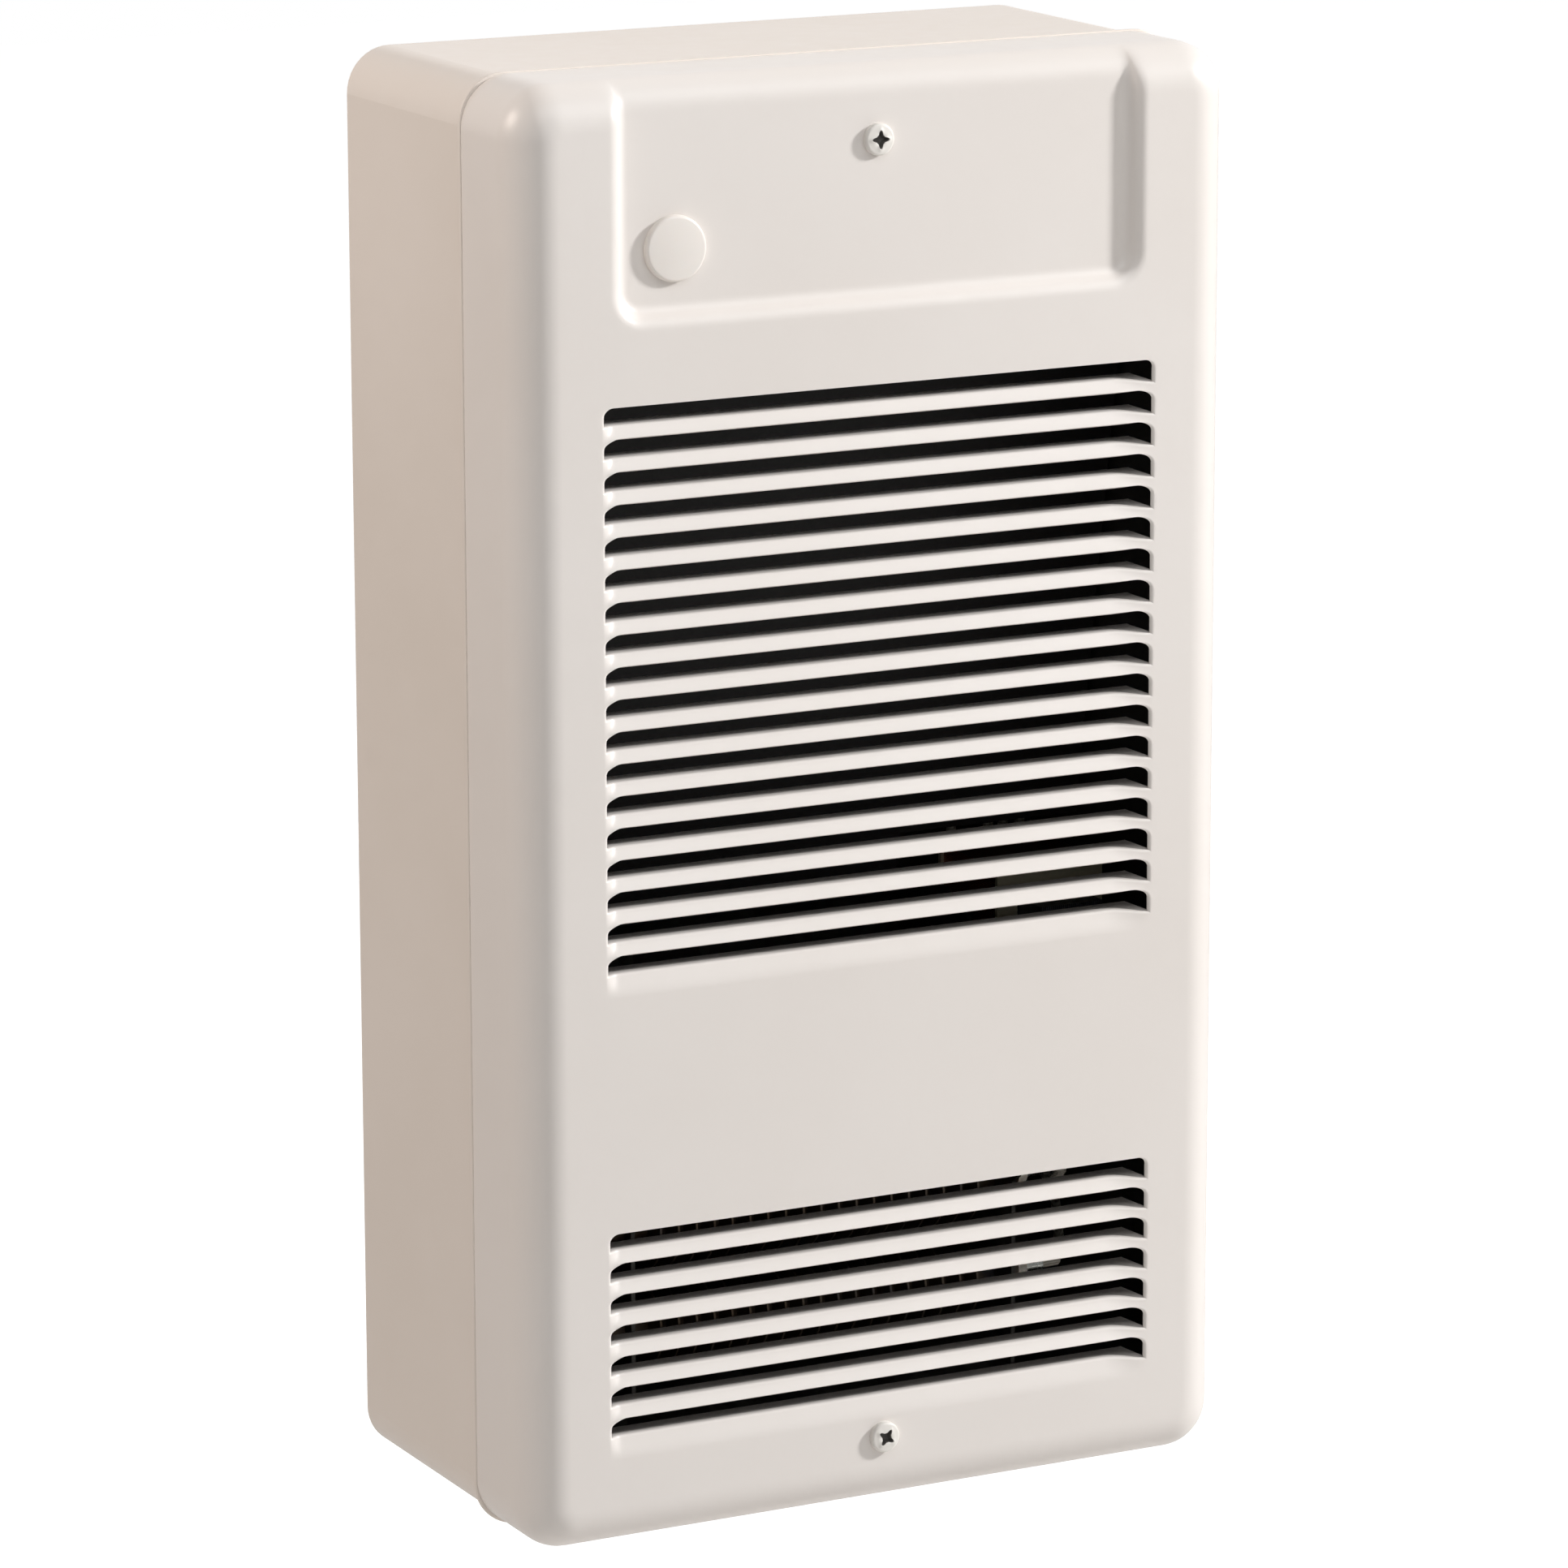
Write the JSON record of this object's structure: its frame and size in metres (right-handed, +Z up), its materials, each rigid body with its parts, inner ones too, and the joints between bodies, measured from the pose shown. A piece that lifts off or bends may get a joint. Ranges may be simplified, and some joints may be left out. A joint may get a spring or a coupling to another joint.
{
  "type": "bathroom wall fan heater",
  "caption": "Surface-mounted fan heater: steel wall box, pressed cover with an intake and an outlet louvre grille and a recessed top panel, crossflow blower, finned element, thermostat.",
  "frame": {"origin": "centre of the box's flat back face, on the wall", "axes": "+X to the right as seen from the front, +Y into the wall, +Z up; the front looks along -Y"},
  "size_m": [0.218, 0.1122, 0.403],
  "materials": {
    "cover_paint": "warm off-white powder coat, satin",
    "box_paint": "warm off-white powder coat, satin, in the cover's colour",
    "screw_paint": "off-white painted steel",
    "plug_plastic": "white moulded plastic, semi-gloss",
    "zinc_steel": "galvanised sheet steel",
    "rivet_aluminium": "plain aluminium",
    "wheel_aluminium": "mill finish",
    "shaft_steel": "ground steel",
    "core_steel": "blued electrical steel laminations",
    "coil_wire": "enamelled copper winding, varnished",
    "cast_bracket": "die-cast",
    "bush_bronze": "sintered bronze",
    "screw_steel": "zinc-plated steel",
    "element_sheath": "oxidised steel",
    "insulator_ceramic": "glazed steatite ceramic",
    "black_plastic": "black moulded phenolic",
    "ivory_plastic": "natural moulded polyamide",
    "spindle_plastic": "ivory moulded plastic",
    "guide_black": "matte black paint",
    "terminal_brass": "plain brass",
    "earth_green": "green earth screw",
    "black_rubber": "moulded rubber",
    "grey_rubber": "moulded rubber",
    "lead_sleeve": "silicone rubber sleeve"
  },
  "bodies": {
    "chassis": {"back_box": "box_paint", "upper_cover_bracket": "zinc_steel", "lower_cover_bracket": "zinc_steel", "bracket_rivets": "rivet_aluminium", "blower_scroll": "zinc_steel", "duct_roof": "zinc_steel", "left_end_plate": "zinc_steel", "right_end_plate": "zinc_steel", "wheel_bearing_cup": "black_rubber", "wheel_bush": "bush_bronze", "motor_stack": "core_steel", "motor_coil": "coil_wire", "motor_bobbin": "ivory_plastic", "motor_front_bracket": "cast_bracket", "motor_rear_bracket": "cast_bracket", "motor_bushes": "bush_bronze", "motor_screws": "screw_steel", "motor_isolators": "black_rubber", "element_tube": "element_sheath", "element_fins": "element_sheath", "element_hanger": "zinc_steel", "element_ferrules": "zinc_steel", "element_insulators": "insulator_ceramic", "element_pins": "screw_steel", "thermal_cutout": "black_plastic", "cutout_screws": "screw_steel", "wiring_shelf": "zinc_steel", "air_guide": "guide_black", "thermostat_bracket": "zinc_steel", "thermostat_body": "black_plastic", "thermostat_nut": "screw_steel", "terminal_block": "ivory_plastic", "terminal_screws": "terminal_brass", "earth_screw": "earth_green", "supply_bushing": "grey_rubber", "lead_grommet": "grey_rubber", "wiring_leads": "lead_sleeve", "fixing_screws": "screw_steel"},
    "cover": {"front_cover": "cover_paint", "cover_screws": "screw_paint"},
    "plug": {"access_plug": "plug_plastic"},
    "fan": {"crossflow_wheel": "wheel_aluminium", "wheel_hub": "black_rubber", "wheel_stub_shaft": "shaft_steel", "motor_shaft": "shaft_steel", "motor_rotor": "core_steel"},
    "spindle": {"thermostat_spindle": "spindle_plastic"}
  },
  "joints": [
    {"name": "cover_pull", "type": "slide", "parent": "chassis", "child": "cover", "axis": [0, -1, 0], "range_m": [0, 0.06]},
    {"name": "plug_pull", "type": "slide", "parent": "cover", "child": "plug", "axis": [0, -1, 0], "range_m": [0, 0.015]},
    {"name": "fan_spin", "type": "hinge", "parent": "chassis", "child": "fan", "pos_m": [0, -0.05, -0.088], "axis": [1, 0, 0], "continuous": true},
    {"name": "thermostat_turn", "type": "hinge", "parent": "chassis", "child": "spindle", "pos_m": [-0.061, -0.085, 0.156], "axis": [0, -1, 0], "range_deg": [0, 270]}
  ]
}
